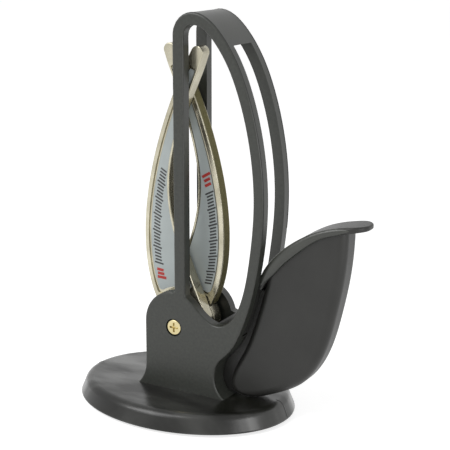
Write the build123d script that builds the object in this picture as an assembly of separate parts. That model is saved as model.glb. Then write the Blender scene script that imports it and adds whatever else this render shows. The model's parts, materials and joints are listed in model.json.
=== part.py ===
from build123d import *
from math import acos, cos, degrees, exp, hypot, log, radians, sin, sqrt, tan
import os

# A free-standing manual knife sharpener. Two curved abrasive arms cross like scissors on one
# pivot pin. A blade pressed down between the two straight guide struts opens them against
# their torsion springs, and their working edges meet it at one constant angle.
# The origin is the centre of the foot pad's underside. X runs from the arms to the handle,
# Y is the direction in which a blade is drawn, and Z is up. All lengths are in millimetres.

# General clearances
overrun = 2.0
seat_clearance = 0.02
running_clearance = 0.04
free_clearance = 0.2

# Foot pad and base
base_length = 122.8
base_width = 92.2
base_height = 9.5
base_taper = 3.9
base_wall = 3.2
base_top_wall = 3.0
base_edge_radius = 4.4
base_rim_radius = 0.8
cover_thickness = 3.0
cover_gap = 0.25
pad_thickness = 2.5
pad_lift = 1.5
pad_margin = 2.0
pad_groove_width = 1.2
pad_groove_depth = 0.5
pad_groove_pitch = 6.0

# Frame: pedestal, guide struts, cap and rear bow
frame_shift = 1.2
frame_depth = 28.9
plate_thickness = 5.55
frame_edge_radius = 0.9
pivot_rise = 34.3
loop_rise = 163.6
loop_reach = 52.0
blade_gap = 0.5
strut_width = 6.3
cap_radius = 11.6
cap_point_turns = (0, 30, 60, 90)
bow_thickness = 5.6
slot_top_rise = 147.9
lobe_radius = 17.6
lobe_lift = 1.5
lobe_corner_radius = 1.2
far_lobe_reach = 3.5
far_lobe_radius = 18.4
valley_corner_radius = 2.0
foot_front_reach = 22.6
foot_rear_reach = 30.0
flare_rise = 12.3
bow_shares = ((0.556, 0.933), (0.812, 0.781), (0.962, 0.59), (1.0, 0.428), (0.952, 0.249), (0.84, 0.095))
heel_shares = ((0.718, -0.02), (0.613, -0.272), (0.5025, -0.462))
waist_reach = 24.2
waist_drop = 23.9
valley_shares = ((0.66, 0.56), (0.5, 0.29), (0.34, 0.477), (0.24, 0.739))
pocket_length = 12.0
pocket_depth = 10.0
pocket_centre = -2.0
pocket_corner_radius = 2.0

# Pivot
barrel_radius = 3.5
barrel_bore_radius = 2.05
pivot_head_radius = 4.1
pivot_head_height = 2.0
pivot_head_crown = 0.5
pivot_shank_radius = 2.0
pivot_shank_length = 9.0
counterbore_radius = 4.7
counterbore_depth = 2.2
washer_radius = 6.1
middle_washer_radius = 11.0
middle_washer_thickness = 0.6

# Arms
arm_thickness = 7.0
edge_radius = 130.0
edge_angle = 25.0
arm_travel = 30.0
arm_hub_radius = 16.5
arm_hub_clearance = 0.8
tip_turn = 2.9
tip_radius = 3.5
arm_edge_radius = 0.5
back_edge_shares = ((0.058, 0.973), (0.0215, 0.889), (-0.0154, 0.769), (-0.0477, 0.605),
                    (-0.0454, 0.499), (-0.0154, 0.365))
hub_tangent_angle = 67.0
edge_point_count = 14
rim_width = 2.3
back_rim_width = 1.2
panel_depth = 0.9
panel_top_rise = 136.0
panel_corner_radius = 0.7
panel_foot_radius = 2.2
label_margin = 1.3
label_back_margin = 0.3
label_thickness = 0.5
strip_depth = 1.0
strip_margin = 0.6
strip_low_turn = 53.0
strip_high_turn = -1.6
bush_radius = 4.9

# Springs and stop
spring_pocket_inner_radius = 6.4
spring_pocket_outer_radius = 11.0
spring_pocket_floor = 2.4
spring_mean_radius = 8.7
spring_wire_radius = 0.55
spring_turns = 2.25
spring_pitch = 1.6
spring_leg_reach = 1.6
spring_floor_gap = 0.3
stop_radius = 13.6
stop_pin_radius = 1.4
stop_pin_seat = 3.0
stop_clearance = 0.15

# Handle
handle_half_depth = 7.7
handle_wall = 2.7
handle_edge_radius = 4.4
handle_core_radius = 2.0
handle_foot_gap = 0.7
handle_reach = 103.1
handle_rise = 65.1
lip_half_depth = 8.7
lip_thickness = 6.0
lip_overlap = 0.8
lip_end_radius = 7.6
lip_edge_radius = 0.9
grip_share = 0.906
lip_shares = ((0.448, 0.415), (0.4617, 0.507), (0.485, 0.582), (0.526, 0.667), (0.581, 0.753), (0.658, 0.843),
              (0.743, 0.917), (0.849, 0.971), (0.92, 0.992), (0.97, 1.0), (1.03, 0.998))
lip_thickness_shares = (0.4, 0.7, 0.95, 1.0, 1.0, 0.87, 0.68, 0.58, 0.52, 0.46, 0.45)
grip_back_shares = ((0.458, 0.19), (0.393, -0.265), (0.32, -0.68), (0.3137, -0.805), (0.346, -0.942))
grip_corner_share = 0.407
belly_shares = ((0.594, -0.835), (0.745, -0.6), (0.857, -0.18), (0.9325, 0.463), (0.9775, 1.07),
                (0.998, 1.82))
tongue_half_depth = 4.4
tongue_front_reach = 8.0
tongue_rear_reach = 38.0
tongue_drop = 21.0
tongue_foot_gap = 2.2
tab_half_depth = 8.7
tab_front_reach = 24.0
tab_rear_share = 0.535
tab_low_rise = 1.0
tab_high_rise = 27.0
web_high_rise = 25.0
web_low_share = 0.439

# Screws
case_head_radius = 3.2
case_head_height = 2.0
case_shank_radius = 1.6
case_hole_radius = 1.8
cover_head_height = 1.2
frame_screw_length = 13.0
frame_screw_shares = ((-0.575, 0.52), (-0.575, -0.52), (0.354, 0.554), (0.354, -0.554))
cover_screw_shares = ((0.58, 0.52), (0.58, -0.52), (-0.58, 0.52), (-0.58, -0.52))
cover_boss_radius = 4.0
cover_screw_skin = 1.6
tongue_screw_shares = ((0.15, 0.44), (0.4, 0.44))
tongue_screw_length = 22.0
handle_screw_shares = ((0.47, -0.6), (0.74, -0.02), (0.81, 0.75))
handle_screw_length = 10.5
handle_head_sink = 0.5
handle_boss_radius = 5.0
cross_width_share = 0.24
cross_length_share = 1.25
cross_depth_share = 0.6

# Derived places
base_top = pad_lift + base_height
pivot_height = base_top + pivot_rise
half_depth = frame_depth / 2
half_gap = half_depth - plate_thickness
arm_inner = middle_washer_thickness / 2 + running_clearance
arm_outer = arm_inner + arm_thickness
strut_right = blade_gap + strut_width
arch_rise = loop_rise - strut_width
grip_reach = handle_reach * grip_share
cap_centre = (blade_gap + cap_radius, loop_rise - cap_radius)
turn_rate = 1 / tan(radians(edge_angle))
stand = (Align.CENTER, Align.CENTER, Align.MIN)
hang = (Align.CENTER, Align.CENTER, Align.MAX)


def scaled(shares, reach, rise):
    """Points written as shares of a reach and a rise."""
    return [(across * reach, up * rise) for across, up in shares]


def inset(points, amount, shares=None):
    """Moves each point of an open line to the right of its direction of travel."""
    moved = []
    shares = shares or [1] * len(points)
    for index, (x, z) in enumerate(points):
        before = points[max(index - 1, 0)]
        after = points[min(index + 1, len(points) - 1)]
        run = after[0] - before[0]
        climb = after[1] - before[1]
        length = hypot(run, climb)
        step = amount * shares[index] / length
        moved.append((x + step * climb, z - step * run))
    return moved


def band(outer, inner):
    """The face between two open lines that run the same way."""
    return make_face([Spline(*outer), Line(outer[-1], inner[-1]), Spline(*inner), Line(inner[0], outer[0])])


def slab(face, low, high):
    """A face drawn in X and Z about the pivot, made solid between two depths in Y."""
    upright = Plane.XZ * face
    return Pos(0, low, 0) * extrude(upright, amount=high - low, dir=(0, 1, 0))


def drum(radius, low, high, spot=(0, 0)):
    """A round bar along Y between two depths."""
    return slab(Pos(spot[0], spot[1]) * Circle(radius), low, high)


def ring(outer_radius, inner_radius, low, high):
    """A round sleeve along Y between two depths."""
    return drum(outer_radius, low, high) - drum(inner_radius, low, high)


def cross_head_screw(head_radius, head_height, shank_radius, length, crown=0.0):
    """A screw along Z: its head stands on Z 0 and its shank hangs below."""
    head = Cylinder(head_radius, head_height, align=stand)
    if crown > 0:
        head = fillet(head.edges().sort_by(Axis.Z)[-1], crown)
    shank = Cylinder(shank_radius, length, align=hang)
    cross_length = head_radius * cross_length_share
    cross_width = head_radius * cross_width_share
    depth = head_height * cross_depth_share
    recess = Box(cross_length, cross_width, head_height, align=stand)
    recess += Box(cross_width, cross_length, head_height, align=stand)
    return head + shank - Pos(0, 0, head_height - depth) * recess


def save(name, shape, place):
    """Writes one sub-part in the object's frame."""
    export_step(place * shape, f"parts/{name}.step")


os.makedirs("parts", exist_ok=True)
at_floor = Pos(0, 0, 0)
at_pivot = Pos(frame_shift, 0, pivot_height)
facing_back = Rot(-90, 0, 0)
facing_front = Rot(90, 0, 0)
facing_down = Rot(180, 0, 0)


# Base shell
def oval(length, width, height):
    """The base's outline at one height."""
    return Pos(0, 0, height) * Ellipse(length / 2, width / 2)


def tapered(shrink, low, high):
    """The base's sloping oval, made smaller all round by one wall."""
    def at(height):
        slope = base_taper * (height - pad_lift) / base_height
        return oval(base_length - 2 * (shrink + slope), base_width - 2 * (shrink + slope), height)
    return loft([at(low), at(high)], ruled=True)


base_shell = tapered(0, pad_lift, base_top)
base_shell = fillet(base_shell.edges().group_by(Axis.Z)[-1], base_edge_radius)
base_shell = fillet(base_shell.edges().group_by(Axis.Z)[0], base_rim_radius)
base_ceiling = base_top - base_top_wall
cover_top = pad_lift + cover_thickness
cover_screw_spots = scaled(cover_screw_shares, base_length / 2, base_width / 2)
frame_screw_spots = scaled(frame_screw_shares, foot_front_reach, half_depth)
hollow = tapered(base_wall, pad_lift - overrun, base_ceiling)
for x, y in cover_screw_spots:
    hollow -= Pos(x, y, cover_top) * Cylinder(cover_boss_radius, base_ceiling - cover_top, align=stand)
base_shell -= hollow
for x, y in cover_screw_spots:
    hole_depth = base_top - cover_screw_skin - cover_top
    base_shell -= Pos(x, y, cover_top) * Cylinder(case_shank_radius + seat_clearance, hole_depth, align=stand)
for x, y in frame_screw_spots:
    through = Cylinder(case_hole_radius, 2 * base_top_wall + overrun)
    base_shell -= Pos(x + frame_shift, y, base_top) * through
save("base_shell", base_shell, at_floor)

# Base cover and its screws
cover_shrink = base_wall + base_taper * cover_thickness / base_height + cover_gap
cover_length = base_length - 2 * cover_shrink
cover_width = base_width - 2 * cover_shrink
pad_length = cover_length - 2 * pad_margin
pad_width = cover_width - 2 * pad_margin
pad_seat = oval(pad_length + 2 * free_clearance, pad_width + 2 * free_clearance, pad_lift)
head_seat = pad_thickness + cover_head_height
base_cover = extrude(oval(cover_length, cover_width, pad_lift), cover_thickness)
base_cover -= extrude(pad_seat, pad_thickness - pad_lift)
cover_screws = []
for x, y in cover_screw_spots:
    spot = Pos(x, y, head_seat)
    base_cover -= spot * Cylinder(case_head_radius + free_clearance, cover_thickness, align=hang)
    base_cover -= spot * Cylinder(case_hole_radius, 2 * cover_thickness)
    shank_length = base_top - cover_screw_skin - head_seat
    screw = cross_head_screw(case_head_radius, cover_head_height, case_shank_radius, shank_length)
    cover_screws.append(spot * facing_down * screw)
save("base_cover", base_cover, at_floor)
save("base_cover_screws", Compound(children=cover_screws), at_floor)

# Foot pad with shallow grip grooves, a land between two of them on the centre line
foot_pad = extrude(oval(pad_length, pad_width, 0), pad_thickness)
groove_count = int(pad_length / pad_groove_pitch / 2)
for step in range(-groove_count, groove_count):
    groove = Box(pad_groove_width, pad_width, 2 * pad_groove_depth)
    foot_pad -= Pos((step + 1 / 2) * pad_groove_pitch, 0, 0) * groove
save("foot_pad", foot_pad, at_floor)

# Frame outline about the pivot
bow_top = (cap_centre[0], loop_rise)
bow_points = [bow_top] + scaled(bow_shares, loop_reach, loop_rise)
heel_points = scaled(heel_shares, loop_reach, pivot_rise)
waist = (waist_reach, -waist_drop)
lobe_centre = (0, lobe_lift)
lobe_end_angle = degrees(acos(blade_gap / lobe_radius))
lobe_end = (blade_gap, lobe_lift + sqrt(lobe_radius ** 2 - blade_gap ** 2))
front_flare_top = (-lobe_radius, flare_rise - pivot_rise)
frame_edges = [
    TangentArc(front_flare_top, (-foot_front_reach, -pivot_rise), tangent=(0, -1)),
    Line(front_flare_top, (-lobe_radius, lobe_lift)),
    CenterArc(lobe_centre, lobe_radius, 180, lobe_end_angle - 180),
    Line(lobe_end, (blade_gap, cap_centre[1])),
    CenterArc(cap_centre, cap_radius, 180, -90),
    Spline(*bow_points, *heel_points, waist, tangents=((1, 0), (0, -1)), tangent_scalars=(1, 1)),
    TangentArc(waist, (foot_rear_reach, -pivot_rise), tangent=(0, -1)),
    Line((foot_rear_reach, -pivot_rise), (-foot_front_reach, -pivot_rise)),
]
frame_outline = make_face(frame_edges)
corner = frame_outline.vertices().sort_by_distance((lobe_end[0], lobe_end[1], 0))[0]
frame_outline = fillet(corner, lobe_corner_radius)

# Window between the struts and the rear bow
inner_cap_radius = cap_radius - strut_width
inner_cap_points = []
for turn in cap_point_turns:
    across = cap_centre[0] - inner_cap_radius * cos(radians(turn))
    inner_cap_points.append((across, cap_centre[1] + inner_cap_radius * sin(radians(turn))))
valley_points = scaled(valley_shares, loop_reach, lobe_radius)
window_start = (strut_right, cap_centre[1] - inner_cap_radius)
window_low = (strut_right, lobe_lift + sqrt(lobe_radius ** 2 - strut_right ** 2))
bow_inner_points = inset(bow_points, bow_thickness)[1:]
window_edges = [
    Line(window_low, window_start),
    Spline(window_start, *inner_cap_points, *bow_inner_points, *valley_points, window_low),
]
window = make_face(window_edges)
corner = window.vertices().sort_by_distance((window_low[0], window_low[1], 0))[0]
window = fillet(corner, valley_corner_radius)
frame_face = frame_outline - window

# Frame solid: rounded profile, then the space between its two plates
frame = slab(frame_face, -half_depth, half_depth)
plate_faces = frame.faces().sort_by(Axis.Y)
outline_edges = plate_faces[0].edges() + plate_faces[-1].edges()
raised_edges = [edge for edge in outline_edges if edge.center().Z > frame_edge_radius - pivot_rise]
frame = fillet(raised_edges, frame_edge_radius)
hub_space = drum(arm_hub_radius + arm_hub_clearance, -half_gap, half_gap)
swing_face = Pos(0, slot_top_rise / 2) * Rectangle(2 * handle_reach, slot_top_rise)
front_face = Pos(cap_centre[0], 0) * Rectangle(handle_reach, arch_rise, align=(Align.MAX, Align.MIN))
frame -= hub_space + slab(swing_face, -half_gap, half_gap) + slab(front_face, -half_gap, half_gap)

# The far plate's lobe is broader than the near one's
far_lobe = drum(far_lobe_radius, half_gap, half_depth, (far_lobe_reach, lobe_lift))
frame += fillet(far_lobe.edges().sort_by(Axis.Y)[-1], frame_edge_radius)

# Pivot bore with a counterbore for each screw head
bore_end = half_depth - counterbore_depth
frame -= drum(barrel_radius + seat_clearance, -half_depth, half_depth)
frame -= drum(counterbore_radius, bore_end, half_depth + overrun)
frame -= drum(counterbore_radius, -half_depth - overrun, -bore_end)

# Seats for the stop pin, the spring legs and the pedestal's screws
stop_spot = (0, -stop_radius)
stop_reach = half_gap + stop_pin_seat
plate_leg_spot = (-spring_mean_radius, 0)
leg_end = half_gap + spring_leg_reach
frame -= drum(stop_pin_radius + seat_clearance, -stop_reach, stop_reach, stop_spot)
leg_room = spring_wire_radius + free_clearance
leg_hole = drum(leg_room, half_gap - overrun, leg_end + free_clearance, plate_leg_spot)
frame -= mirror(leg_hole, about=Plane.XZ)
frame -= mirror(leg_hole, about=Plane.YZ)
for x, y in frame_screw_spots:
    pilot = Cylinder(case_shank_radius + seat_clearance, frame_screw_length, align=stand)
    frame -= Pos(x, y, -pivot_rise) * pilot
pocket = Pos(pocket_centre, 0, -pivot_rise) * Box(pocket_length, 2 * half_gap, pocket_depth, align=stand)
frame -= fillet(pocket.edges().filter_by(Axis.Z), pocket_corner_radius)

# Socket for the handle's tongue, from the pedestal's core out past its rear edge
tongue_low = tongue_foot_gap - pivot_rise
tongue_length = tongue_rear_reach - tongue_front_reach
tongue_height = -tongue_drop - tongue_low


def tongue_face(clearance):
    """The tongue's upright rectangle, with room all round for its socket."""
    corner = Pos(tongue_front_reach - clearance, tongue_low - clearance)
    low_corner = (Align.MIN, Align.MIN)
    return corner * Rectangle(tongue_length + clearance, tongue_height + 2 * clearance, align=low_corner)


tongue_screw_spots = []
for along, up in tongue_screw_shares:
    tongue_screw_spots.append((tongue_front_reach + along * tongue_length, tongue_low + up * tongue_height))
socket_half_depth = tongue_half_depth + free_clearance
frame -= slab(tongue_face(free_clearance), -socket_half_depth, socket_half_depth)
for spot in tongue_screw_spots:
    frame -= drum(case_hole_radius, 0, half_depth, spot)
    frame -= drum(case_head_radius + free_clearance, bore_end, half_depth + overrun, spot)
    frame -= drum(case_shank_radius + seat_clearance, bore_end - tongue_screw_length, 0, spot)
save("frame", frame, at_pivot)

# Screws of the pedestal, driven up from inside the base
frame_screws = []
for x, y in frame_screw_spots:
    screw = cross_head_screw(case_head_radius, case_head_height, case_shank_radius, frame_screw_length)
    frame_screws.append(Pos(x, y, -pivot_rise - base_top_wall) * facing_down * screw)
save("frame_screws", Compound(children=frame_screws), at_pivot)


# Arm outline: working edge, round tip, back edge and hub
def edge_point(turn):
    """A point of the working edge, which meets every ray from the pivot at one angle."""
    angle = radians(turn)
    reach = edge_radius * exp(-angle * turn_rate)
    return (-reach * sin(angle), reach * cos(angle))


def edge_points(low_turn, high_turn):
    """Points of the working edge from a low one to a high one."""
    step = (high_turn - low_turn) / (edge_point_count - 1)
    return [edge_point(low_turn + index * step) for index in range(edge_point_count)]


hub_turn = degrees(log(edge_radius / arm_hub_radius) / turn_rate)
working_points = edge_points(hub_turn, -tip_turn)
tip_heading = radians(edge_angle + tip_turn)
tip_start = working_points[-1]
tip_end = (tip_start[0] + 2 * tip_radius * cos(tip_heading), tip_start[1] - 2 * tip_radius * sin(tip_heading))
hub_angle = radians(hub_tangent_angle)
hub_end = (arm_hub_radius * sin(hub_angle), arm_hub_radius * cos(hub_angle))
back_points = [tip_end] + scaled(back_edge_shares, edge_radius, edge_radius) + [hub_end]
hub_sweep = hub_tangent_angle + hub_turn - 360
arm_face = make_face([
    Spline(*working_points),
    TangentArc(tip_start, tip_end, tangent=(sin(tip_heading), cos(tip_heading))),
    Spline(*back_points),
    CenterArc((0, 0), arm_hub_radius, 90 - hub_tangent_angle, hub_sweep),
])


def panel_face(margin, back_margin):
    """The sunk panel of an arm's face, inside the rim and clear of the hub and the tip pad."""
    left = inset(working_points, rim_width + margin)
    right = inset(back_points, back_rim_width + back_margin)
    right.reverse()
    face = band(left, right) - Circle(arm_hub_radius + rim_width + margin)
    shade = Rectangle(edge_radius, edge_radius, align=(Align.CENTER, Align.MIN))
    face -= Pos(tip_start[0], panel_top_rise - margin) * Rot(0, 0, -degrees(tip_heading)) * shade
    corners = face.vertices().sort_by(Axis.Y)
    face = fillet(corners[-2:], panel_corner_radius)
    return fillet(face.vertices().sort_by(Axis.Y)[:2], panel_foot_radius)


# Arm solid with its sunk panels, edge seat, spring pocket, stop slot and leg hole
outer_floor = arm_outer - panel_depth
inner_floor = arm_inner + panel_depth
spring_floor = arm_inner + spring_pocket_floor
arm_leg_spot = (0, -spring_mean_radius)
arm = slab(arm_face, arm_inner, arm_outer)
side_faces = arm.faces().sort_by(Axis.Y)
arm = fillet(side_faces[0].edges() + side_faces[-1].edges(), arm_edge_radius)
arm -= slab(panel_face(0, 0), outer_floor, arm_outer + overrun)
arm -= slab(panel_face(0, 0), arm_inner - overrun, inner_floor)
strip_points = edge_points(strip_low_turn, strip_high_turn)
strip_inner = inset(strip_points, strip_depth)
strip_low = arm_inner + strip_margin
strip_high = arm_outer - strip_margin
arm -= slab(band(inset(strip_points, -overrun), strip_inner), strip_low, strip_high)
arm -= drum(bush_radius, arm_inner, arm_outer)
arm -= ring(spring_pocket_outer_radius, spring_pocket_inner_radius, spring_floor, arm_outer)
stop_path = CenterArc((0, 0), stop_radius, -90, arm_travel)
stop_slot = SlotArc(stop_path, 2 * (stop_pin_radius + stop_clearance))
arm -= slab(stop_slot, arm_inner, arm_outer)
leg_depth = spring_leg_reach + free_clearance
arm -= drum(leg_room, spring_floor - leg_depth, spring_floor, arm_leg_spot)

# Pieces that ride on an arm
label_face = panel_face(label_margin, label_back_margin)
outer_label = slab(label_face, outer_floor, outer_floor + label_thickness)
inner_label = slab(label_face, inner_floor - label_thickness, inner_floor)
strip = slab(band(strip_points, strip_inner), strip_low, strip_high)
bush = ring(bush_radius, barrel_radius + running_clearance, arm_inner, arm_outer)

# Torsion spring: one leg in the arm's pocket floor, the other in the frame's plate
coil_low = spring_floor + spring_floor_gap + spring_wire_radius
coil_high = coil_low + spring_turns * spring_pitch
coil_path = Helix(spring_pitch, coil_high - coil_low, spring_mean_radius)
wire_face = Plane(origin=coil_path @ 0, z_dir=coil_path % 0) * Circle(spring_wire_radius)
coil = sweep(wire_face, path=coil_path, is_frenet=True)
spring = Pos(0, coil_low, 0) * facing_back * Rot(0, 0, 90) * coil
spring += drum(spring_wire_radius, spring_floor - spring_leg_reach, coil_low, arm_leg_spot)
spring += drum(spring_wire_radius, coil_high, leg_end, plate_leg_spot)
spring += Pos(arm_leg_spot[0], coil_low, arm_leg_spot[1]) * Sphere(spring_wire_radius)
spring += Pos(plate_leg_spot[0], coil_high, plate_leg_spot[1]) * Sphere(spring_wire_radius)

# The near arm leans over to the handle's side, the far arm is its mirror image the other way
arm_pieces = {"arm": arm, "arm_outer_label": outer_label, "arm_inner_label": inner_label,
              "arm_abrasive": strip, "arm_bush": bush, "arm_spring": spring}
for name, shape in arm_pieces.items():
    save(f"near_{name}", mirror(shape, about=Plane.XZ), at_pivot)
    save(f"far_{name}", mirror(shape, about=Plane.YZ), at_pivot)

# Pivot barrel, its two screws, the washers and the stop pin
pivot_screw = cross_head_screw(
    pivot_head_radius, pivot_head_height, pivot_shank_radius, pivot_shank_length, pivot_head_crown)
thrust_washer = ring(washer_radius, barrel_radius + seat_clearance, arm_outer + running_clearance, half_gap)
middle_half = middle_washer_thickness / 2
middle_washer = ring(middle_washer_radius, barrel_radius + seat_clearance, -middle_half, middle_half)
save("pivot_barrel", ring(barrel_radius, barrel_bore_radius, -bore_end, bore_end), at_pivot)
save("near_pivot_screw", Pos(0, -bore_end, 0) * facing_front * pivot_screw, at_pivot)
save("far_pivot_screw", Pos(0, bore_end, 0) * facing_back * pivot_screw, at_pivot)
save("near_washer", mirror(thrust_washer, about=Plane.XZ), at_pivot)
save("far_washer", thrust_washer, at_pivot)
save("middle_washer", middle_washer, at_pivot)
save("stop_pin", drum(stop_pin_radius, -stop_reach, stop_reach, stop_spot), at_pivot)

# Handle outline: the thumb lip along its top, then the grip's back, corner and belly
lip_points = scaled(lip_shares, handle_reach, handle_rise)
lip_face = band(lip_points, inset(lip_points, lip_thickness, lip_thickness_shares))
grip_top = inset(lip_points, lip_overlap)[2:-3]
grip_bottom = (grip_corner_share * grip_reach, handle_foot_gap - pivot_rise)
grip_side = [grip_top[0]] + scaled(grip_back_shares, grip_reach, pivot_rise)
grip_side += [grip_bottom] + scaled(belly_shares, grip_reach, pivot_rise)
grip_outline = Spline(*grip_side)
grip_face = make_face([grip_outline, Spline(*grip_top), Line(grip_top[-1], grip_side[-1])])
core_top = inset(grip_top, handle_wall)[1:]
core_side = inset(grip_side, -handle_wall)[1:]
core_face = make_face([
    Spline(*core_side), Spline(*core_top), Line(core_top[-1], core_side[-1]), Line(core_side[0], core_top[0])])

# Grip with its rounded rim, hollow inside
grip = slab(grip_face, -handle_half_depth, handle_half_depth)
side_edges = grip.edges().filter_by(GeomType.BSPLINE).sort_by(SortBy.LENGTH)[-2:]
grip = fillet(side_edges, handle_edge_radius)
core_half_depth = handle_half_depth - handle_wall
core = slab(core_face, -core_half_depth, core_half_depth)
core_edges = core.edges().filter_by(GeomType.BSPLINE).sort_by(SortBy.LENGTH)[-2:]
core = fillet(core_edges, handle_core_radius)

# Thumb lip with a rounded end
lip_plan = Rectangle(handle_reach, 2 * lip_half_depth, align=(Align.MIN, Align.CENTER))
lip_plan = fillet(lip_plan.vertices().group_by(Axis.X)[-1], lip_end_radius)
lip = slab(lip_face, -lip_half_depth, lip_half_depth) & extrude(lip_plan, 2 * handle_rise)
broad_faces = lip.faces().sort_by(SortBy.AREA)[-2:]
lip = fillet(broad_faces[0].edges() + broad_faces[1].edges(), lip_edge_radius)

# Tab between the two bows, web across the groove behind them, and tongue in the pedestal
tab_corner = Pos(tab_front_reach, tab_low_rise)
tab_reach = grip_reach * tab_rear_share - tab_front_reach
low_corner = (Align.MIN, Align.MIN)
tab_box = tab_corner * Rectangle(tab_reach, tab_high_rise - tab_low_rise, align=low_corner)
web_box = tab_corner * Rectangle(tab_reach, web_high_rise - tab_low_rise, align=low_corner)
groove_corner = Pos(tab_front_reach, tongue_low)
groove_reach = grip_reach * web_low_share - tab_front_reach
groove_box = groove_corner * Rectangle(groove_reach, tab_low_rise - tongue_low, align=low_corner)
groove_face = groove_box - frame_outline - Pos(free_clearance, 0) * frame_outline
handle = grip - core + lip
handle += slab(frame_face & tab_box, -tab_half_depth, tab_half_depth)
handle += slab(web_box - window, -tongue_half_depth, tongue_half_depth)
handle += slab(groove_face, -tongue_half_depth, tongue_half_depth)
handle += slab(tongue_face(0), -tongue_half_depth, tongue_half_depth)

# Screw columns of the handle, then its two halves
handle_screw_spots = scaled(handle_screw_shares, grip_reach, pivot_rise)
head_floor = handle_half_depth - handle_head_sink - case_head_height
for spot in handle_screw_spots:
    handle += drum(handle_boss_radius, -core_half_depth, core_half_depth, spot)
for spot in handle_screw_spots:
    handle -= drum(case_head_radius + free_clearance, head_floor, handle_half_depth, spot)
    handle -= drum(case_hole_radius, 0, head_floor, spot)
    handle -= drum(case_shank_radius + seat_clearance, head_floor - handle_screw_length, 0, spot)
for spot in tongue_screw_spots:
    handle -= drum(case_hole_radius, -tongue_half_depth, tongue_half_depth, spot)
half_space = Box(2 * handle_reach, half_depth, 2 * handle_reach, align=(Align.CENTER, Align.MIN, Align.CENTER))
save("handle_far_shell", handle & half_space, at_pivot)
save("handle_near_shell", handle & mirror(half_space, about=Plane.XZ), at_pivot)

# Screws of the handle and of its tongue, all driven from the far side
handle_screw = cross_head_screw(case_head_radius, case_head_height, case_shank_radius, handle_screw_length)
handle_screws = [Pos(x, head_floor, z) * facing_back * handle_screw for x, z in handle_screw_spots]
save("handle_screws", Compound(children=handle_screws), at_pivot)
tongue_screw = cross_head_screw(case_head_radius, case_head_height, case_shank_radius, tongue_screw_length)
tongue_screws = [Pos(x, bore_end, z) * facing_back * tongue_screw for x, z in tongue_screw_spots]
save("tongue_screws", Compound(children=tongue_screws), at_pivot)
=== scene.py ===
# %% [markdown]
# # Finishing a free-standing knife sharpener
# A moulded frame stands on an oval base and carries two metal arms that cross like scissors.
# A blade pressed down between the arms spreads them against their springs.
# Every working piece is already modelled and packed in its place, so the first step only loads it.
# The lesson then gives each piece its surface, adds the fine trim, and lights it like a product picture.

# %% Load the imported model
import json
import math
import bpy
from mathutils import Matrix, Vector


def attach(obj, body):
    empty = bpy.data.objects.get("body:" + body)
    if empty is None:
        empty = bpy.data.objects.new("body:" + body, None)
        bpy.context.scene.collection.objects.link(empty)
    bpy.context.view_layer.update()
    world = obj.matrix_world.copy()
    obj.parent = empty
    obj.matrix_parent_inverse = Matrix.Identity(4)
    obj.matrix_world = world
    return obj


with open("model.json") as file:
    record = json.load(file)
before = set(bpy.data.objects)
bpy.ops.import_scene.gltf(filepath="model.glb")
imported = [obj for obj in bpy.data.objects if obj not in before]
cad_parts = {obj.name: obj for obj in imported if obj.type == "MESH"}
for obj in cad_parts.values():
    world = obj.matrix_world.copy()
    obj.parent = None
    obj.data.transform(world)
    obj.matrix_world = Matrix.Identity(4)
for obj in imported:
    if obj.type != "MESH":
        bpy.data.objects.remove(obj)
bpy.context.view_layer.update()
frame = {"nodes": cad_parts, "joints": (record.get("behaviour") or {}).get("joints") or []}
nodes = frame["nodes"]

# %% [markdown]
# The camera stands to the right of the front, a little above the cap, with a long lens.
# A studio camera could be kept level and its lens shifted far, so that uprights stay upright.
# Here it is tilted down with a small shift, which keeps the object in the frame from every side.

# %% Camera
look_at = Vector((0.0213, 0.0, 0.1235))
distance = 0.600
azimuth = math.radians(29.76)
elevation = math.radians(12.35)
back = Vector((math.sin(azimuth) * math.cos(elevation),
               -math.cos(azimuth) * math.cos(elevation), math.sin(elevation)))
lens = bpy.data.cameras.new("studio_lens")
lens.lens = 94.28
lens.shift_x = 0.0093
lens.shift_y = -0.1
camera = bpy.data.objects.new("studio_camera", lens)
bpy.context.scene.collection.objects.link(camera)
camera.location = look_at + back * distance
camera.rotation_euler = (-back).to_track_quat("-Z", "Y").to_euler()
bpy.context.scene.camera = camera
bpy.context.scene.view_settings.view_transform = "Standard"
print("camera at", [round(v, 3) for v in camera.location])


# %% [markdown]
# Moulded plastic has a fine grain from the mould, and a slow mottle where it cooled unevenly.
# Both could be built again in every material.
# As a shader group with named inputs they are built once, and each material gives its own scales.

# %% Moulded grain
def start_group(name, inputs, outputs):
    tree = bpy.data.node_groups.new(name, "ShaderNodeTree")
    for label, value in inputs.items():
        socket = tree.interface.new_socket(label, in_out="INPUT", socket_type="NodeSocketFloat")
        socket.default_value = value
    for label in outputs:
        tree.interface.new_socket(label, in_out="OUTPUT", socket_type="NodeSocketFloat")
    return tree, tree.nodes.new("NodeGroupInput"), tree.nodes.new("NodeGroupOutput")


grain, grain_in, grain_out = start_group(
    "moulded_grain", {"Grain scale": 2600.0, "Mottle scale": 60.0}, ["Height", "Mottle"])
place = grain.nodes.new("ShaderNodeTexCoord")
for detail, scale, result in ((3.0, "Grain scale", "Height"), (4.0, "Mottle scale", "Mottle")):
    noise = grain.nodes.new("ShaderNodeTexNoise")
    noise.inputs["Detail"].default_value = detail
    grain.links.new(place.outputs["Object"], noise.inputs["Vector"])
    grain.links.new(grain_in.outputs[scale], noise.inputs["Scale"])
    grain.links.new(noise.outputs["Fac"], grain_out.inputs[result])
print("group", grain.name, "nodes", len(grain.nodes))

# %% [markdown]
# Drawn steel shows fine streaks along one direction, and the base has soft bands that are far wider.
# They could be painted, but noise on stretched Object coordinates fits any shape without a map.

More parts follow.
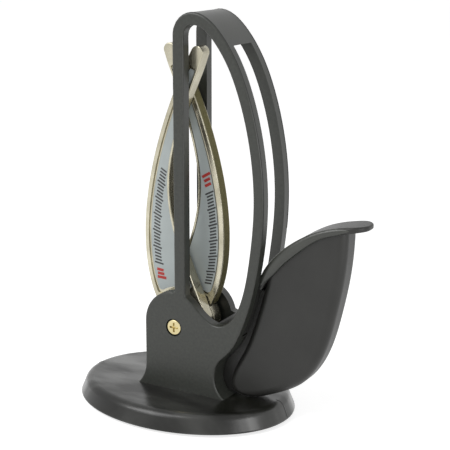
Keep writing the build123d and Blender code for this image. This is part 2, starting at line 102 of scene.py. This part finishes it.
# %% Drawn-out streaks
streaks, streaks_in, streaks_out = start_group(
    "drawn_streaks", {"Along X": 40.0, "Along Y": 900.0, "Along Z": 40.0}, ["Streak"])
place = streaks.nodes.new("ShaderNodeTexCoord")
rates = streaks.nodes.new("ShaderNodeCombineXYZ")
for label, axis in (("Along X", "X"), ("Along Y", "Y"), ("Along Z", "Z")):
    streaks.links.new(streaks_in.outputs[label], rates.inputs[axis])
stretch = streaks.nodes.new("ShaderNodeVectorMath")
stretch.operation = "MULTIPLY"
lines = streaks.nodes.new("ShaderNodeTexNoise")
lines.inputs["Scale"].default_value = 1.0
lines.inputs["Detail"].default_value = 5.0
streaks.links.new(place.outputs["Object"], stretch.inputs[0])
streaks.links.new(rates.outputs["Vector"], stretch.inputs[1])
streaks.links.new(stretch.outputs["Vector"], lines.inputs["Vector"])
streaks.links.new(lines.outputs["Fac"], streaks_out.inputs["Streak"])
print("group", streaks.name, "nodes", len(streaks.nodes))


# %% [markdown]
# Colours are written as eye values from 0 to 255, as a colour picker shows them.
# Blender works in light values, so one small function turns them over.

# %% Colours
def light_value(*levels):
    parts = [level / 255 for level in levels]
    return [p / 12.92 if p <= 0.04045 else ((p + 0.055) / 1.055) ** 2.4 for p in parts] + [1.0]


print("middle grey 128 is light value", round(light_value(128)[0], 3))

# %% [markdown]
# Every surface here is one Principled shader with a mix of two colours, a range of roughness and a bump.
# Each could have a node tree of its own, but those trees would differ in their numbers only.
# So one recipe makes plastic, film, rubber and metal alike.
# Its last choice is a coat of varying strength, for plastic that mirrors more in some places.
# The frame's satin charcoal is the first finish made with it.

# %% One recipe for all finishes
tint_span = (0.3, 0.7)
whole_span = (0.0, 1.0)
polish_span = (0.38, 0.62)
coat_rough = 0.22
relief_depth = 0.0002


def spread(tree, source, span, ends):
    node = tree.nodes.new("ShaderNodeMapRange")
    for label, value in zip(("From Min", "From Max", "To Min", "To Max"), (*span, *ends)):
        node.inputs[label].default_value = value
    tree.links.new(source, node.inputs["Value"])
    return node.outputs["Result"]


def finish(name, dark, pale, rough, metal=0.0, effect=grain, scales=None, bump=0.1,
           specular=0.5, coat=None):
    material = bpy.data.materials.new(name)
    material.use_nodes = True
    tree = material.node_tree
    shader = tree.nodes["Principled BSDF"]
    shader.inputs["Metallic"].default_value = metal
    shader.inputs["Specular IOR Level"].default_value = specular
    source = tree.nodes.new("ShaderNodeGroup")
    source.node_tree = effect
    for label, value in (scales or {}).items():
        source.inputs[label].default_value = value
    varied = source.outputs["Mottle" if effect is grain else "Streak"]
    raised = source.outputs["Height" if effect is grain else "Streak"]
    tint = tree.nodes.new("ShaderNodeValToRGB")
    for stop, position, colour in zip(tint.color_ramp.elements, tint_span, (dark, pale)):
        stop.position = position
        stop.color = light_value(*colour)
    relief = tree.nodes.new("ShaderNodeBump")
    relief.inputs["Strength"].default_value = bump
    relief.inputs["Distance"].default_value = relief_depth
    tree.links.new(varied, tint.inputs["Fac"])
    tree.links.new(tint.outputs["Color"], shader.inputs["Base Color"])
    tree.links.new(spread(tree, varied, whole_span, rough), shader.inputs["Roughness"])
    tree.links.new(raised, relief.inputs["Height"])
    tree.links.new(relief.outputs["Normal"], shader.inputs["Normal"])
    if coat:
        shader.inputs["Coat Roughness"].default_value = coat_rough
        tree.links.new(spread(tree, varied, polish_span, coat), shader.inputs["Coat Weight"])
    return material


frame_plastic = finish("frame_plastic", (43, 45, 41), (54, 56, 51), (0.30, 0.42),
                       scales={"Grain scale": 1700.0, "Mottle scale": 700.0}, bump=0.12)
print("finish", frame_plastic.name, "nodes", len(frame_plastic.node_tree.nodes))

# %% [markdown]
# The handle is duller than the frame, and the base is glossier, with soft pale bands.
# Such plastic is nearly black in itself, and what the eye reads as grey is the room mirrored in it.
# The bands are most likely a studio mirrored in the base, and that studio isn't known.
# A coat of varying strength stands in for it, because a change of colour would hardly show.

# %% Plastics
handle_plastic = finish("handle_plastic", (37, 37, 35), (44, 44, 42), (0.34, 0.44), bump=0.2,
                        specular=0.38)
base_plastic = finish("base_plastic", (10, 10, 8), (30, 31, 25), (0.3, 0.34), effect=streaks,
                      scales={"Along X": 18.0, "Along Y": 60.0, "Along Z": 2.0}, bump=0.0,
                      specular=0.4, coat=(0.0, 1.0))
foot_rubber = finish("foot_rubber", (24, 24, 24), (32, 32, 32), (0.7, 0.85), bump=0.3)
inner_plastic = finish("inner_plastic", (26, 26, 26), (32, 32, 32), (0.5, 0.6))
print("plastics", [m.name for m in (handle_plastic, base_plastic, foot_rubber, inner_plastic)])

# %% [markdown]
# The arms are cast metal with a warm satin plating, and their screws are pale brass.
# The abrasive strip along each working edge is khaki grit, and the labels are cool grey film.
# Real grit would be thousands of grains, but at this size a strong bump gives the same dull sparkle.

# %% Metals, film and grit
arm_metal = finish("arm_metal", (166, 161, 141), (202, 197, 177), (0.17, 0.26), metal=0.85,
                   scales={"Mottle scale": 80.0}, bump=0.05)
label_film = finish("label_film", (172, 180, 180), (184, 192, 191), (0.3, 0.4), bump=0.02)
abrasive = finish("abrasive", (102, 97, 66), (138, 132, 94), (0.75, 0.9),
                  scales={"Grain scale": 3800.0, "Mottle scale": 1900.0}, bump=0.6, specular=0.15)
brass = finish("pivot_brass", (190, 176, 130), (224, 213, 172), (0.25, 0.4), metal=1.0, bump=0.05)
bronze = finish("bush_bronze", (150, 110, 70), (176, 132, 86), (0.4, 0.5), metal=1.0)
steel = finish("plain_steel", (150, 150, 150), (186, 186, 184), (0.25, 0.4), metal=1.0, effect=streaks)
print("metals and film", [m.name for m in (arm_metal, label_film, abrasive, brass, bronze, steel)])

# %% [markdown]
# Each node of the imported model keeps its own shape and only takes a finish.
# A table by name is the plainest way, and whatever it doesn't name is a small steel part.

# %% Which node has which finish
finishes = {
    "base_shell": base_plastic, "frame": frame_plastic,
    "handle_near_shell": handle_plastic, "handle_far_shell": handle_plastic,
    "foot_pad": foot_rubber, "base_cover": inner_plastic,
    "near_arm": arm_metal, "far_arm": arm_metal,
    "near_arm_outer_label": label_film, "near_arm_inner_label": label_film,
    "far_arm_outer_label": label_film, "far_arm_inner_label": label_film,
    "near_arm_abrasive": abrasive, "far_arm_abrasive": abrasive,
    "near_arm_bush": bronze, "far_arm_bush": bronze,
    "near_pivot_screw": brass, "far_pivot_screw": brass, "pivot_barrel": brass,
}
for name, node in nodes.items():
    node.data.materials.clear()
    node.data.materials.append(finishes.get(name, steel))
print("finished nodes", len(nodes), "of which small steel parts", len(nodes) - len(finishes))


# %% [markdown]
# The trim is made with Geometry Nodes, because it follows paths and repeats along them.
# The trees could be wired by hand in the editor, but a script shows every step in order.
# Two helpers keep it readable: one adds a node with its links, the other adds one step of a sum.

# %% Nodes and sums in a tree
def add_node(tree, kind, **links):
    node = tree.nodes.new(kind)
    for label, value in links.items():
        socket = node.inputs[label.replace("_", " ")]
        if isinstance(value, bpy.types.NodeSocket):
            tree.links.new(value, socket)
        else:
            socket.default_value = value
    return node


def calc(tree, operation, first, second=0.0):
    node = tree.nodes.new("ShaderNodeMath")
    node.operation = operation
    for socket, value in zip(node.inputs, (first, second)):
        if isinstance(value, (int, float)):
            socket.default_value = value
        else:
            tree.links.new(value, socket)
    return node.outputs[0]


print("tree helpers", add_node.__name__, calc.__name__)

# %% [markdown]
# Each arm's working edge is a logarithmic spiral about the pivot, so it meets the blade at one angle.
# The trim of an arm runs beside that edge.
# Its path could be drawn by hand as a curve, but here the spiral's own rule draws it.
# Every point of a straight line becomes a turn about the pivot, and the rule gives its reach.
# The point then steps inwards from the edge, and onto the face that carries the trim.

# %% The path beside a working edge
pivot = frame["joints"][0]["pos_m"]
edge_radius = 0.130
edge_angle = math.radians(25.0)
path_points = 80
spiral_inputs = [
    ("Side", "NodeSocketFloat", 1.0), ("Face", "NodeSocketFloat", 0.0),
    ("Inset", "NodeSocketFloat", 0.003), ("Low turn", "NodeSocketFloat", 0.8),
    ("High turn", "NodeSocketFloat", 0.0)]


def spiral_path(tree, given):
    line = add_node(tree, "GeometryNodeCurvePrimitiveLine", Start=(0, 0, 0), End=(1, 0, 0))
    fine_line = add_node(tree, "GeometryNodeResampleCurve", Curve=line.outputs[0], Count=path_points)
    place = tree.nodes.new("GeometryNodeInputPosition").outputs[0]
    share = add_node(tree, "ShaderNodeSeparateXYZ", Vector=place).outputs["X"]
    rate = 1 / math.tan(edge_angle)
    span = calc(tree, "SUBTRACT", given["High turn"], given["Low turn"])
    turn = calc(tree, "ADD", given["Low turn"], calc(tree, "MULTIPLY", share, span))
    shrink = calc(tree, "EXPONENT", calc(tree, "MULTIPLY", turn, -rate))
    reach = calc(tree, "MULTIPLY", shrink, edge_radius)
    sine, cosine = calc(tree, "SINE", turn), calc(tree, "COSINE", turn)
    step = calc(tree, "MULTIPLY", given["Inset"], math.sin(edge_angle))
    step_over = calc(tree, "ADD", sine, calc(tree, "MULTIPLY", cosine, rate))
    step_up = calc(tree, "SUBTRACT", calc(tree, "MULTIPLY", sine, rate), cosine)
    across = calc(tree, "SUBTRACT", calc(tree, "MULTIPLY", step, step_over),
                  calc(tree, "MULTIPLY", reach, sine))
    up = calc(tree, "ADD", calc(tree, "MULTIPLY", step, step_up), calc(tree, "MULTIPLY", reach, cosine))
    spot = add_node(tree, "ShaderNodeCombineXYZ",
                    X=calc(tree, "ADD", calc(tree, "MULTIPLY", across, given["Side"]), pivot[0]),
                    Y=given["Face"], Z=calc(tree, "ADD", up, pivot[2]))
    return add_node(tree, "GeometryNodeSetPosition", Geometry=fine_line.outputs[0],
                    Position=spot.outputs[0]).outputs[0]


print("edge reaches", edge_radius, "m from the pivot at", [round(v, 4) for v in pivot])


# %% [markdown]
# Every tree starts with named inputs, and ends by making instances real and setting the finish.
# A mesh takes the tree as a modifier, with each input set by its socket's identifier.
# The modifier could stay live, but the export drops instances, so the result becomes a plain mesh.
# That mesh then rides on its body.

# %% From a node tree to a plain piece
def start_tree(name, inputs):
    tree = bpy.data.node_groups.new(name, "GeometryNodeTree")
    keys = {}
    for label, kind, value in inputs:
        socket = tree.interface.new_socket(label, in_out="INPUT", socket_type=kind)
        if value is not None:
            socket.default_value = value
        keys[label] = socket.identifier
    tree.interface.new_socket("Geometry", in_out="OUTPUT", socket_type="NodeSocketGeometry")
    return tree, keys, tree.nodes.new("NodeGroupInput").outputs


def end_tree(tree, shape, given):
    whole = add_node(tree, "GeometryNodeRealizeInstances", Geometry=shape)
    done = add_node(tree, "GeometryNodeSetMaterial", Geometry=whole.outputs[0], Material=given["Finish"])
    tree.links.new(done.outputs[0], tree.nodes.new("NodeGroupOutput").inputs[0])
    print("tree", tree.name, "nodes", len(tree.nodes))


def make_piece(name, tree, keys, values, body, slot, start=None):
    piece = bpy.data.objects.new(name, start or bpy.data.meshes.new(name))
    bpy.context.scene.collection.objects.link(piece)
    shape = piece.modifiers.new("shape", "NODES")
    shape.node_group = tree
    for label, value in values.items():
        shape[keys[label]] = value
    graph = bpy.context.evaluated_depsgraph_get()
    mesh = bpy.data.meshes.new_from_object(piece.evaluated_get(graph))
    piece.modifiers.clear()
    piece.data = mesh
    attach(piece, body)
    print(name, "faces", len(mesh.polygons))


print("piece helpers", start_tree.__name__, end_tree.__name__, make_piece.__name__)


# %% [markdown]
# Each arm has a sunk panel with a film label on both of its sides, so four faces carry trim.
# Their depths could be typed in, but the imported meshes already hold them.
# An arm's side is the face of the metal, and a label's two sides are its film and the panel's floor.

# %% Faces of the arms
def side_of(node_name, outward):
    depths = [vertex.co.y for vertex in nodes[node_name].data.vertices]
    return max(depths) if outward > 0 else min(depths)


arm_faces = {}
for arm, face_side, side, outward in (("near", "outer", 1.0, -1), ("near", "inner", 1.0, 1),
                                      ("far", "inner", -1.0, -1), ("far", "outer", -1.0, 1)):
    label_node = f"{arm}_arm_{face_side}_label"
    arm_faces[f"{arm}_{face_side}"] = {
        "arm": arm, "side": side, "outward": outward, "metal": side_of(f"{arm}_arm", outward),
        "film": side_of(label_node, outward), "floor": side_of(label_node, -outward)}
for face_name, face in arm_faces.items():
    print(face_name, {part: round(face[part], 5) for part in ("metal", "film", "floor")})

# %% [markdown]
# A narrow raised bead runs along each label between the metal rim and the film.
# It could be cut from the arm's own mesh, but a round wire on the spiral path is simpler.
# The wire is laid half sunk in the panel's floor, so that only its crown shows.

# %% Bead beside the label
bead_tree, bead_keys, given = start_tree(
    "label_bead", spiral_inputs + [("Radius", "NodeSocketFloat", 0.0004),
                                   ("Finish", "NodeSocketMaterial", None)])
section = add_node(bead_tree, "GeometryNodeCurvePrimitiveCircle", Resolution=10, Radius=given["Radius"])
wire = add_node(bead_tree, "GeometryNodeCurveToMesh", Curve=spiral_path(bead_tree, given),
                Profile_Curve=section.outputs[0], Fill_Caps=True)
smooth = add_node(bead_tree, "GeometryNodeSetShadeSmooth", Geometry=wire.outputs[0])
end_tree(bead_tree, smooth.outputs[0], given)

# %% [markdown]
# The bead is plated like the arm, but its colour is paler: a painted highlight for the light its crown catches.
# The fine gap between it and the film lies in shade, but the gap is finer than the shadows can show.
# So a second, thinner dark wire from the same tree lies just inside the bead, as painted shade.

# %% Beads and painted gap shade on the four faces
# The bead's finish is a paler copy of the arm metal, which paints the highlight on the bead.
bead_metal_painted_highlight = finish("bead_metal_painted_highlight", (184, 178, 158), (212, 206, 186), (0.3, 0.45), metal=1.0, bump=0.05)
# This dark finish paints the shade in the gap between the bead and the film.
painted_gap_shade = finish("painted_gap_shade", (58, 54, 44), (74, 70, 58), (0.5, 0.6), bump=0.02)
bead_sink = 0.0001
bead_low, bead_high = math.radians(44), math.radians(0.5)
for face_name, face in arm_faces.items():
    bead = {"Side": face["side"], "Face": face["floor"] - face["outward"] * bead_sink,
            "Inset": 0.0030, "Radius": 0.00042, "Low turn": bead_low, "High turn": bead_high,
            "Finish": bead_metal_painted_highlight}
    gap = bead | {"Inset": 0.0036, "Radius": 0.00022, "Finish": painted_gap_shade}
    for kind, sizes in (("bead", bead), ("painted_gap_shade", gap)):
        make_piece(f"{face_name}_{kind}", bead_tree, bead_keys, sizes, f"{face['arm']}_arm_group", "arm_metal")

# %% [markdown]
# The labels carry a plain graduated strip of slanted marks, every fifth one longer.
# Printed marks could be a texture, but thin bars stay sharp however near the camera comes.
# They are instances of one bar on points of the path, because they only differ in length.

# %% Graduated strip
strip_tree, strip_keys, given = start_tree(
    "graduated_strip", spiral_inputs + [
        ("Marks", "NodeSocketInt", 30), ("Width", "NodeSocketFloat", 0.0009),
        ("Length", "NodeSocketFloat", 0.0040), ("Lean", "NodeSocketFloat", 0.3),
        ("Finish", "NodeSocketMaterial", None)])
film_of_ink = 0.00008
long_every = 5.0
long_growth = 0.35
points = add_node(strip_tree, "GeometryNodeCurveToPoints", Curve=spiral_path(strip_tree, given),
                  Count=given["Marks"])
bar = add_node(strip_tree, "ShaderNodeCombineXYZ", X=given["Width"], Y=film_of_ink, Z=given["Length"])
mark = add_node(strip_tree, "GeometryNodeMeshCube", Size=bar.outputs[0])
along = add_node(strip_tree, "FunctionNodeAlignRotationToVector", Vector=points.outputs["Tangent"])
along.axis = "X"
along.pivot_axis = "Y"
lean = add_node(strip_tree, "ShaderNodeCombineXYZ", Y=given["Lean"])
lean_turn = add_node(strip_tree, "FunctionNodeEulerToRotation", Euler=lean.outputs[0])
slanted = add_node(strip_tree, "FunctionNodeRotateRotation", Rotation=along.outputs[0],
                   Rotate_By=lean_turn.outputs[0])
slanted.rotation_space = "LOCAL"
order = strip_tree.nodes.new("GeometryNodeInputIndex").outputs[0]
is_long = calc(strip_tree, "LESS_THAN", calc(strip_tree, "MODULO", order, long_every), 0.5)
growth = calc(strip_tree, "ADD", calc(strip_tree, "MULTIPLY", is_long, long_growth), 1.0)
mark_scale = add_node(strip_tree, "ShaderNodeCombineXYZ", X=1.0, Y=1.0, Z=growth)
row = add_node(strip_tree, "GeometryNodeInstanceOnPoints", Points=points.outputs["Points"],
               Instance=mark.outputs[0], Rotation=slanted.outputs[0], Scale=mark_scale.outputs[0])
end_tree(strip_tree, row.outputs[0], given)

# %% [markdown]
# On each label the strip is dark, with three broader red marks at one end of the scale.
# The two colours could share one mesh, but as two pieces each keeps a single finish.
# The ranges are turns about the pivot in degrees, as the path's rule takes them.

# %% Print on all four labels
dark_print = finish("dark_print", (52, 53, 54), (66, 67, 68), (0.4, 0.5), bump=0.02)
red_print = finish("red_print", (168, 44, 38), (184, 56, 48), (0.4, 0.5), bump=0.02)
print_insets = {"near": 0.0072, "far": 0.0064}
print_turns = {"near": {"red": (40.5, 36.8), "dark": (34, 11.4)},
               "far": {"red": (12, 13.6), "dark": (15, 42)}}
print_kinds = {"red": {"Marks": 3, "Width": 0.0015, "Finish": red_print},
               "dark": {"Marks": 30, "Finish": dark_print}}
mark_lean = 0.3
for face_name, face in arm_faces.items():
    arm = face["arm"]
    for colour, kind in print_kinds.items():
        low, high = print_turns[arm][colour]
        sizes = kind | {"Side": face["side"], "Face": face["film"], "Inset": print_insets[arm],
                        "Lean": mark_lean * face["side"], "Low turn": math.radians(low),
                        "High turn": math.radians(high)}
        make_piece(f"{face_name}_{colour}_marks", strip_tree, strip_keys, sizes, f"{arm}_arm_group", "label_film")

# %% [markdown]
# A fine crease crosses the broad pad at each arm's tip, where the casting steps down to the panel.
# A cut in the pad would be one way, but a line this fine reads by its shade alone, and that shade is painted as a
# dark colour.
# So it is a single long dark mark from the strip's tree, laid across the pad.

# %% Painted crease shade on the tip pads
# The crease's finish is a dark copy of the arm metal: painted shade of the step in the casting.
crease_painted_shade = finish("crease_painted_shade", (92, 88, 72), (112, 106, 88), (0.4, 0.5), metal=1.0, bump=0.02)
crease_lean = 0.25
for face_name, face in arm_faces.items():
    sizes = {"Side": face["side"], "Face": face["metal"], "Inset": 0.0036,
             "Low turn": math.radians(-1.6), "High turn": math.radians(-2.2), "Marks": 1,
             "Width": 0.0003, "Length": 0.0044, "Lean": crease_lean * face["side"],
             "Finish": crease_painted_shade}
    make_piece(f"{face_name}_pad_crease", strip_tree, strip_keys, sizes, f"{face['arm']}_arm_group", "arm_metal")

# %% [markdown]
# Where the parts of a mould meet, they leave a fine line on the plastic.
# Such a line could be drawn with a bump, but a thin wire also catches the light at a low angle.
# The tree takes any path of points, because these lines follow surfaces and not a rule.

# %% Wire for a mould line
line_tree, line_keys, given = start_tree(
    "dark_edge_line", [("Path", "NodeSocketGeometry", None), ("Radius", "NodeSocketFloat", 0.0002),
                   ("Finish", "NodeSocketMaterial", None)])
section = add_node(line_tree, "GeometryNodeCurvePrimitiveCircle", Resolution=8, Radius=given["Radius"])
path = add_node(line_tree, "GeometryNodeMeshToCurve", Mesh=given["Path"])
wire = add_node(line_tree, "GeometryNodeCurveToMesh", Curve=path.outputs[0],
                Profile_Curve=section.outputs[0], Fill_Caps=True)
end_tree(line_tree, wire.outputs[0], given)

# %% [markdown]
# A line climbs the wall at both ends of the oval base.
# A thin dark wire of the same kind runs over the cap and down the bow on each side, just behind the rounded edge.
# The points could be picked from the mesh by hand, but rays shot inwards at a fan of angles find them.

# %% Mould lines on the base, and a dark line along the bow
line_plastic = finish("line_plastic", (18, 18, 17), (24, 24, 23), (0.4, 0.5))
ray_start = 0.2


def fan(degree):
    return Vector((math.cos(math.radians(degree)), 0, math.sin(math.radians(degree))))


def point_path(name, spots):
    track = bpy.data.meshes.new(f"{name}_path")
    track.from_pydata(spots, [(i, i + 1) for i in range(len(spots) - 1)], [])
    return track


def trace_line(name, target, core, degrees, radius, slot):
    hits = [nodes[target].ray_cast(core + fan(degree) * ray_start, -fan(degree)) for degree in degrees]
    track = point_path(name, [hit[1] for hit in hits if hit[0]])
    sizes = {"Radius": radius, "Finish": line_plastic}
    make_piece(name, line_tree, line_keys, sizes, "stand", slot, track)


base_core_reach, base_core_rise = 0.050, 0.003
base_line_radius = 0.00016
for end_name, sign, degrees in (("right", 1, range(0, 66, 3)), ("left", -1, range(180, 114, -3))):
    trace_line(f"base_{end_name}_dark_edge_line", "base_shell",
               Vector((sign * base_core_reach, 0, base_core_rise)), degrees, base_line_radius, "base_plastic")

bow_side = side_of("frame", 1)
bow_edge_round = 0.0009
bow_line_radius = 0.0002
bow_fan = [110 - 1.5 * step for step in range(96)]
# Along the bow, the same wire lays a thin dark line just behind the rounded edge.
for side_name, sign in (("near", -1), ("far", 1)):
    loop_middle = Vector((0.02, sign * (bow_side - bow_edge_round), 0.12))
    trace_line(f"frame_{side_name}_dark_edge_line", "frame", loop_middle, bow_fan, bow_line_radius, "frame_plastic")

# %% [markdown]
# The thumb lip is rolled along both sides, so that it is kind to the hand that presses on it.
# A wide fillet would be one way, but a separate roll can swell and thin out with the lip.
# Its tree sweeps a circle whose size comes with the path, and flattens it against the lip's side.

# %% Roll for the thumb lip
roll_tree, roll_keys, given = start_tree(
    "lip_roll", [("Path", "NodeSocketGeometry", None), ("Face", "NodeSocketFloat", 0.0),
                 ("Bulge", "NodeSocketFloat", 0.65), ("Finish", "NodeSocketMaterial", None)])
path = add_node(roll_tree, "GeometryNodeMeshToCurve", Mesh=given["Path"])
swell = add_node(roll_tree, "GeometryNodeInputNamedAttribute", Name="swell")
section = add_node(roll_tree, "GeometryNodeCurvePrimitiveCircle", Resolution=20, Radius=1.0)
skin = add_node(roll_tree, "GeometryNodeCurveToMesh", Curve=path.outputs[0],
                Profile_Curve=section.outputs[0], Scale=swell.outputs["Attribute"], Fill_Caps=True)
place = roll_tree.nodes.new("GeometryNodeInputPosition").outputs[0]
spot = add_node(roll_tree, "ShaderNodeSeparateXYZ", Vector=place).outputs
off_face = calc(roll_tree, "SUBTRACT", spot["Y"], given["Face"])
depth = calc(roll_tree, "ADD", calc(roll_tree, "MULTIPLY", off_face, given["Bulge"]), given["Face"])
flat_spot = add_node(roll_tree, "ShaderNodeCombineXYZ", X=spot["X"], Y=depth, Z=spot["Z"])
flat = add_node(roll_tree, "GeometryNodeSetPosition", Geometry=skin.outputs[0], Position=flat_spot.outputs[0])
smooth = add_node(roll_tree, "GeometryNodeSetShadeSmooth", Geometry=flat.outputs[0])
end_tree(roll_tree, smooth.outputs[0], given)

# %% [markdown]
# The lip's curve is known only from the imported handle.
# One ray from outside finds the lip's top, and one from below it finds its underside.
# The roll runs midway between the two, as thick as the lip is there, and tapers off at both ends.

# %% Rolls on both sides of the lip
# The roll's finish is a lighter copy of the handle plastic: painted highlight where the rolled lip catches light
# from above. It is glossier too.
lip_plastic_painted_highlight = finish("lip_plastic_painted_highlight", (46, 48, 43), (54, 56, 50), (0.28, 0.36), bump=0.1, specular=0.6)
lip_fan = [143 - 1.5 * step for step in range(47)]
ray_depth, roll_depth = 0.0083, 0.0085
end_share, taper_steps = 0.3, 6
for side_name, sign in (("near", -1), ("far", 1)):
    shell = nodes[f"handle_{side_name}_shell"]
    core = Vector((0.080, sign * ray_depth, 0.050))
    pairs = [(shell.ray_cast(core + fan(degree) * ray_start, -fan(degree)), shell.ray_cast(core, fan(degree)))
             for degree in lip_fan]
    pairs = [(over[1], under[1]) for over, under in pairs if over[0] and under[0]]
    last = len(pairs) - 1
    tapers = [min(1.0, end_share + step / taper_steps, end_share + (last - step) / taper_steps)
              for step in range(last + 1)]
    name = f"lip_{side_name}_roll"
    track = point_path(name, [(over + under) / 2 for over, under in pairs])
    swell = track.attributes.new("swell", "FLOAT", "POINT")
    swell.data.foreach_set("value", [(over - under).length / 2 * taper
                                     for (over, under), taper in zip(pairs, tapers)])
    sizes = {"Face": sign * roll_depth, "Finish": lip_plastic_painted_highlight}
    make_piece(name, roll_tree, roll_keys, sizes, "stand", "handle_plastic", track)


# %% [markdown]
# A pale paper floor takes the soft shadow.
# More lamps would turn it white, but they would wash out the object too.
# So the paper glows a little only for rays that are seen or mirrored, and it lights nothing else.

# %% Floor
def seen_ray(tree):
    ray = tree.nodes.new("ShaderNodeLightPath")
    seen = calc(tree, "MAXIMUM", ray.outputs["Is Camera Ray"], ray.outputs["Is Glossy Ray"])
    return calc(tree, "MAXIMUM", seen, ray.outputs["Is Transmission Ray"])


floor_size = 8.0
floor_glow = 0.72
bpy.ops.mesh.primitive_plane_add(size=floor_size)
floor = bpy.context.object
floor.name = "studio_floor"
paper = finish("floor_paper", (214, 214, 214), (220, 220, 220), (0.8, 0.9), bump=0.0, specular=0.0)
floor.data.materials.append(paper)
tree = paper.node_tree
glow = tree.nodes.new("ShaderNodeEmission")
both = tree.nodes.new("ShaderNodeAddShader")
tree.links.new(calc(tree, "MULTIPLY", seen_ray(tree), floor_glow), glow.inputs["Strength"])
tree.links.new(tree.nodes["Principled BSDF"].outputs[0], both.inputs[0])
tree.links.new(glow.outputs[0], both.inputs[1])
tree.links.new(both.outputs[0], tree.nodes["Material Output"].inputs["Surface"])
print("floor", floor.name, "glow", floor_glow)

# %% [markdown]
# The surround is a white studio: pure white where it is seen or mirrored.
# One strength for all rays would either grey the background or flatten the object.
# So a second, dimmer white does the lighting.

# %% World
world = bpy.data.worlds.new("white_surround")
bpy.context.scene.world = world
world.use_nodes = True
sky = world.node_tree
dim = sky.nodes["Background"]
white = sky.nodes.new("ShaderNodeBackground")
for shade, strength in ((dim, 0.42), (white, 1.0)):
    shade.inputs["Color"].default_value = (1, 1, 1, 1)
    shade.inputs["Strength"].default_value = strength
choice = sky.nodes.new("ShaderNodeMixShader")
sky.links.new(seen_ray(sky), choice.inputs["Fac"])
sky.links.new(dim.outputs[0], choice.inputs[1])
sky.links.new(white.outputs[0], choice.inputs[2])
sky.links.new(choice.outputs[0], sky.nodes["World Output"].inputs["Surface"])
print("world", world.name)

# %% [markdown]
# Two soft boxes light the object: a large one high at the front left, and a weak one at the right.
# A single sun would give hard edges, which a product picture avoids.
# The first stands near, so the top of the frame gets more light than the foot, as in a small studio.
# The second draws the bright line on the right edge of the handle and of the rear bow.

# %% Soft boxes
aim = Vector((0.02, 0.0, 0.09))
for name, spot, size, watts in (("front_left_box", (-0.42, -0.62, 0.72), 0.6, 5.4),
                                ("right_box", (0.76, -0.30, 0.2), 0.4, 1.9)):
    box = bpy.data.lights.new(name, "AREA")
    box.size = size
    box.energy = watts
    lamp = bpy.data.objects.new(name, box)
    bpy.context.scene.collection.objects.link(lamp)
    lamp.location = spot
    lamp.rotation_euler = (aim - lamp.location).to_track_quat("-Z", "Y").to_euler()
    print("light", name, watts, "watts")
